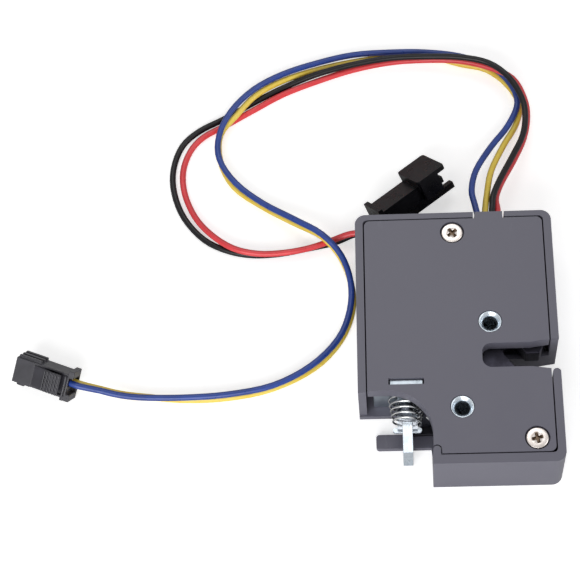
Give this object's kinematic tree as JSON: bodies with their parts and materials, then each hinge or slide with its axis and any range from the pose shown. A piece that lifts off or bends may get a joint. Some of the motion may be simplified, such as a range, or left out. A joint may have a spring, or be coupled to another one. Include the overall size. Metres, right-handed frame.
{
  "type": "solenoid lock",
  "caption": "Small cabinet lock with a rotary claw in a side slot, released by a pull solenoid and reporting its state through a switch, with two plugged leads.",
  "frame": {"origin": "bottom centre of the case, which lies on its back", "axes": "+Y along the case to the end where the wires leave, +Z out of the cover, +X to the side with the striker slot"},
  "size_m": [0.1667, 0.1527, 0.02],
  "materials": {
    "case_plastic": "grey moulded ABS with a fine matt texture",
    "nickel_screw": "nickel-plated steel",
    "zinc_steel": "bright zinc-plated steel",
    "claw_metal": "dark zinc die casting",
    "lever_metal": "blackened steel plate",
    "spring_steel": "drawn spring wire",
    "frame_steel": "zinc-plated folded steel",
    "bobbin_plastic": "natural nylon",
    "winding": "enamelled copper under lacquer",
    "core_steel": "soft magnetic steel",
    "switch_black": "black moulded switch body",
    "button_red": "red moulded button",
    "brass": "stamped brass",
    "blue_insulation": "blue PVC insulation",
    "yellow_insulation": "yellow PVC insulation",
    "black_insulation": "black PVC insulation",
    "red_insulation": "red PVC insulation",
    "plug_plastic": "dark grey moulded nylon",
    "socket_plastic": "black moulded nylon"
  },
  "bodies": {
    "case": {"base_shell": "case_plastic", "cover_plate": "case_plastic", "cover_screw_top": "nickel_screw", "cover_screw_bottom": "nickel_screw", "mounting_sleeve_upper": "zinc_steel", "mounting_sleeve_lower": "zinc_steel", "claw_spring": "spring_steel", "lever_spring": "spring_steel", "solenoid_frame": "frame_steel", "coil_bobbin": "bobbin_plastic", "coil_winding": "winding", "fixed_core": "core_steel", "switch_body": "switch_black", "switch_terminals": "brass", "blue_lead": "blue_insulation", "yellow_lead": "yellow_insulation", "black_lead": "black_insulation", "red_lead": "red_insulation", "blue_wire": "blue_insulation", "yellow_wire": "yellow_insulation", "black_wire": "black_insulation", "red_wire": "red_insulation", "sensor_plug": "plug_plastic", "sensor_contacts": "brass", "power_socket": "socket_plastic", "power_pins": "brass"},
    "claw": {"latch_claw": "claw_metal"},
    "lever": {"release_lever": "lever_metal", "lever_pin": "frame_steel"},
    "plunger": {"plunger": "core_steel", "release_strip": "zinc_steel", "plunger_spring": "spring_steel"},
    "leaf": {"switch_leaf": "spring_steel"},
    "button": {"switch_button": "button_red"}
  },
  "joints": [
    {"name": "claw_turn", "type": "hinge", "parent": "case", "child": "claw", "pos_m": [0.0099, 0.0039, 0.011], "axis": [0, 0, 1], "range_deg": [-32, 0]},
    {"name": "plunger_slide", "type": "slide", "parent": "case", "child": "plunger", "axis": [0, 1, 0], "range_m": [0, 0.0024], "stiffness_N_per_m": 150, "springref_m": -0.004, "deforming": ["plunger_spring"]},
    {"name": "lever_turn", "type": "hinge", "parent": "case", "child": "lever", "pos_m": [0.0006, -0.0233, 0.0033], "axis": [0, 0, 1], "range_deg": [-8.5, 0]},
    {"name": "leaf_bend", "type": "hinge", "parent": "case", "child": "leaf", "pos_m": [0.0157, 0.021, 0.011], "axis": [0, 0, 1], "range_deg": [0, 6]},
    {"name": "button_press", "type": "slide", "parent": "case", "child": "button", "axis": [1, 0, 0], "range_m": [0, 0.00045]}
  ],
  "couplings": [
    {"joint": "lever_turn", "follows": "plunger_slide", "rad_per_m": -61.087},
    {"joint": "leaf_bend", "follows": "claw_turn", "ratio": -0.1875},
    {"joint": "button_press", "follows": "claw_turn", "m_per_rad": -0.0008}
  ]
}
